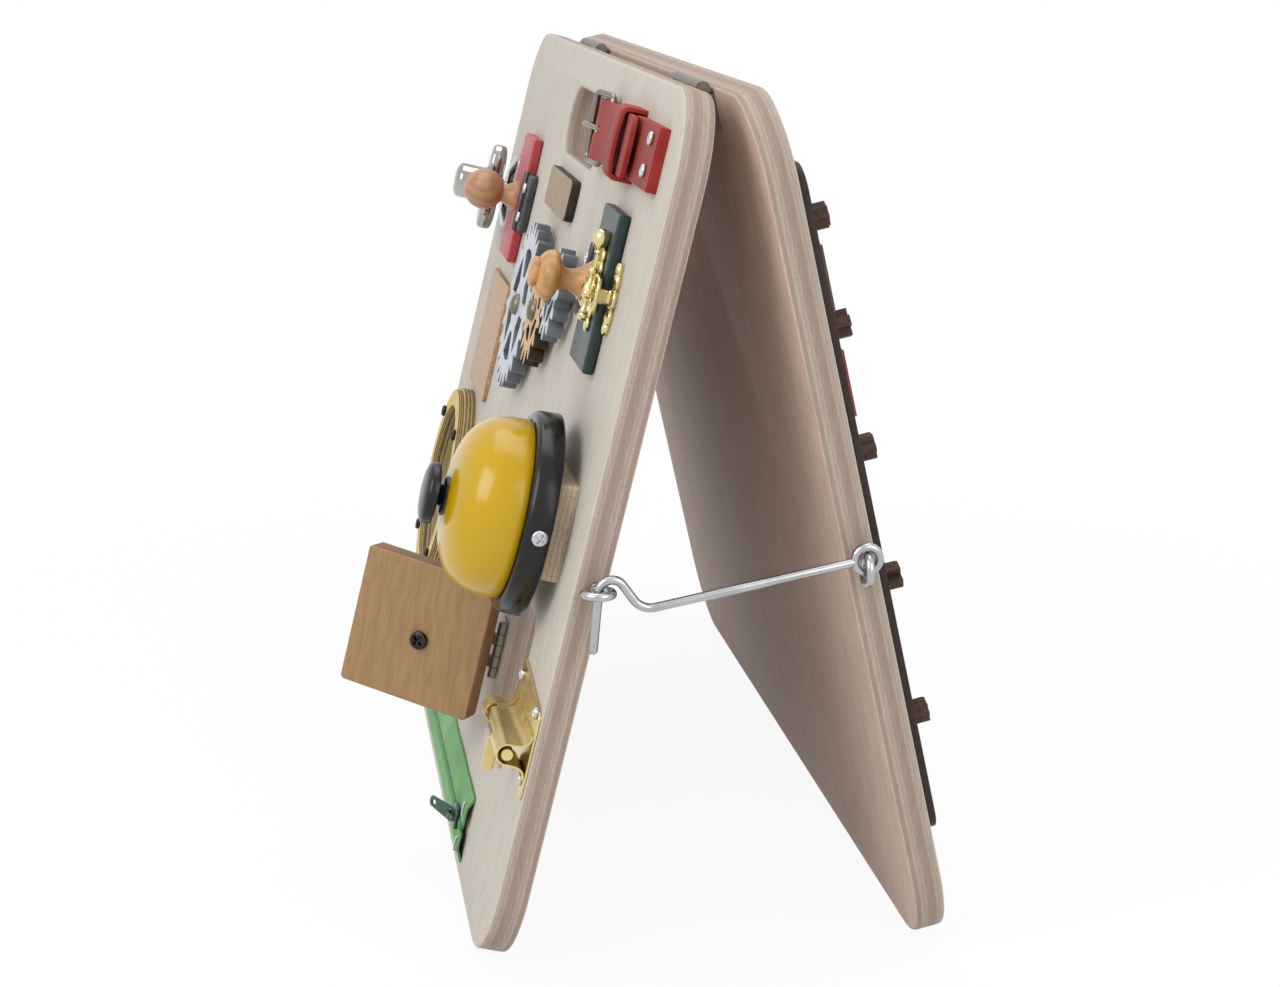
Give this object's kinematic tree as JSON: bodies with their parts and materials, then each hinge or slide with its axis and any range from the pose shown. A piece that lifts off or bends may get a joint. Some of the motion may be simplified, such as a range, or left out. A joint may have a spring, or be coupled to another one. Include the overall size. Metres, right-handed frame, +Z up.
{
  "type": "wooden busy board",
  "caption": "Free-standing folding wooden activity board with doors, latches, gears, bell, zip, strap, tap and a hook that holds it open.",
  "frame": {"origin": "centre of the bounding box in X and Y, on the floor under the open boards", "axes": "+X along the fold, -Y the way the activity face looks, +Z up"},
  "size_m": [0.5158, 0.2396, 0.3435],
  "materials": {
    "birch_ply": "white-washed birch plywood",
    "raw_ply": "raw laser-cut plywood with burnt edges",
    "pine": "turned pine, clear oiled",
    "picture_paint": "thin plywood painted salmon",
    "strip_paint": "painted strips",
    "green_paint": "dark green painted wood",
    "red_paint": "red painted wood",
    "red_strap": "red coated webbing",
    "zip_cloth": "light green zip tape",
    "zip_teeth": "green moulded teeth",
    "zip_metal": "dark green lacquered slider",
    "steel": "plain steel",
    "dark_steel": "dark grey steel",
    "zinc": "bright zinc plate",
    "gear_metal": "grey cast metal",
    "gold": "bright gold plate",
    "brass": "brass plated sheet",
    "chrome": "polished chrome",
    "bell_yellow": "gloss yellow enamel",
    "bell_black": "gloss black enamel",
    "black_steel": "black phosphate",
    "mirror": "mirror disc"
  },
  "bodies": {
    "front": {"front_board": "birch_ply", "fold_leaves_front": "steel", "fold_pins": "steel", "front_eye": "steel", "strap_long": "red_strap", "strap_short": "red_strap", "strap_loops": "red_strap", "buckle_frame": "steel", "name_block": "raw_ply", "gear_axles": "steel", "hinge_blocks": "dark_steel", "small_pins": "steel", "latch_catch": "gold", "tap_base": "chrome", "picture_board": "picture_paint", "port_ring": "raw_ply", "port_rim": "raw_ply", "port_mirror": "mirror", "port_bolts": "dark_steel", "bell_block": "raw_ply", "bell_base": "bell_black", "bell_dome": "bell_yellow", "bell_collar": "bell_black", "bell_screw": "zinc", "door_hinge_fixed": "steel", "bolt_plate": "brass", "zip_tapes": "zip_cloth", "zip_chain": "zip_teeth", "zip_staples": "zinc", "zinc_screws": "zinc"},
    "rear": {"rear_board": "birch_ply", "fold_leaves_rear": "steel", "rear_eye": "steel", "rear_plate": "raw_ply", "rear_strips": "strip_paint", "rear_blocks": "raw_ply"},
    "hook": {"hook": "steel"},
    "prong": {"buckle_prong": "steel"},
    "gear_large": {"gear_large": "gear_metal"},
    "gear_wood": {"gear_wood": "raw_ply"},
    "gear_small": {"gear_small": "gear_metal"},
    "green_door": {"green_door": "green_paint", "green_knob": "pine", "green_hinge_leaf": "dark_steel", "latch_plate": "gold"},
    "hasp": {"latch_hasp": "gold"},
    "red_door": {"red_door": "red_paint", "red_knob": "pine", "red_hinge_leaf": "dark_steel"},
    "tap": {"tap_handle": "chrome"},
    "button": {"bell_button": "bell_black"},
    "window_door": {"window_door": "raw_ply", "window_knob": "pine", "window_screw": "black_steel", "door_hinge_leaf": "steel"},
    "bolt": {"bolt_rod": "brass"},
    "slider": {"zip_slider": "zip_metal"},
    "pull": {"zip_pull": "zip_metal"}
  },
  "joints": [
    {"name": "fold", "type": "hinge", "parent": "front", "child": "rear", "pos_m": [-0.0079, 0.0236, 0.33979], "axis": [1, 0, 0], "range_deg": [-26.5, 0]},
    {"name": "hook_lift", "type": "hinge", "parent": "rear", "child": "hook", "pos_m": [-0.0079, 0.0752, 0.16902], "axis": [1, 0, 0], "range_deg": [-110, 0]},
    {"name": "prong_lift", "type": "hinge", "parent": "front", "child": "prong", "pos_m": [0.0851, -0.0024, 0.31714], "axis": [0, 0.2292, 0.9734], "range_deg": [0, 70]},
    {"name": "large_gear_spin", "type": "hinge", "parent": "front", "child": "gear_large", "pos_m": [-0.0239, -0.02567, 0.22399], "axis": [0, -0.9734, 0.2292], "continuous": true},
    {"name": "wood_gear_spin", "type": "hinge", "parent": "front", "child": "gear_wood", "pos_m": [0.03571, -0.02411, 0.23061], "axis": [0, -0.9734, 0.2292], "continuous": true},
    {"name": "small_gear_spin", "type": "hinge", "parent": "front", "child": "gear_small", "pos_m": [0.07384, -0.02098, 0.2439], "axis": [0, -0.9734, 0.2292], "continuous": true},
    {"name": "green_door_swing", "type": "hinge", "parent": "front", "child": "green_door", "pos_m": [0.1316, -0.01719, 0.26001], "axis": [0, -0.2292, -0.9734], "range_deg": [0, 100]},
    {"name": "hasp_lift", "type": "hinge", "parent": "green_door", "child": "hasp", "pos_m": [0.1686, -0.02079, 0.26086], "axis": [0, -0.2292, -0.9734], "range_deg": [0, 85]},
    {"name": "red_door_swing", "type": "hinge", "parent": "front", "child": "red_door", "pos_m": [-0.1309, -0.01673, 0.26196], "axis": [0, 0.2292, 0.9734], "range_deg": [0, 110]},
    {"name": "tap_turn", "type": "hinge", "parent": "front", "child": "tap", "pos_m": [-0.2129, -0.02228, 0.26018], "axis": [0, -0.9734, 0.2292], "continuous": true},
    {"name": "button_press", "type": "slide", "parent": "front", "child": "button", "axis": [0, -0.9734, 0.2292], "range_m": [-0.0018, 0], "stiffness_N_per_m": 400, "springref_m": 0.002},
    {"name": "window_door_swing", "type": "hinge", "parent": "front", "child": "window_door", "pos_m": [0.11591, -0.05295, 0.09635], "axis": [0, -0.2292, -0.9734], "range_deg": [-119.4, 20]},
    {"name": "bolt_slide", "type": "slide", "parent": "front", "child": "bolt", "axis": [-1, 0, 0], "range_m": [0, 0.013]},
    {"name": "slider_run", "type": "slide", "parent": "front", "child": "slider", "axis": [-1, 0, 0], "range_m": [0, 0.24]},
    {"name": "pull_lift", "type": "hinge", "parent": "slider", "child": "pull", "pos_m": [0.12385, -0.07372, 0.0247], "axis": [0, 0.2292, 0.9734], "range_deg": [0, 60]}
  ],
  "couplings": [
    {"joint": "hook_lift", "follows": "fold", "ratio": 4.1509},
    {"joint": "wood_gear_spin", "follows": "large_gear_spin", "ratio": -1.6667},
    {"joint": "small_gear_spin", "follows": "large_gear_spin", "ratio": 2.0833}
  ]
}
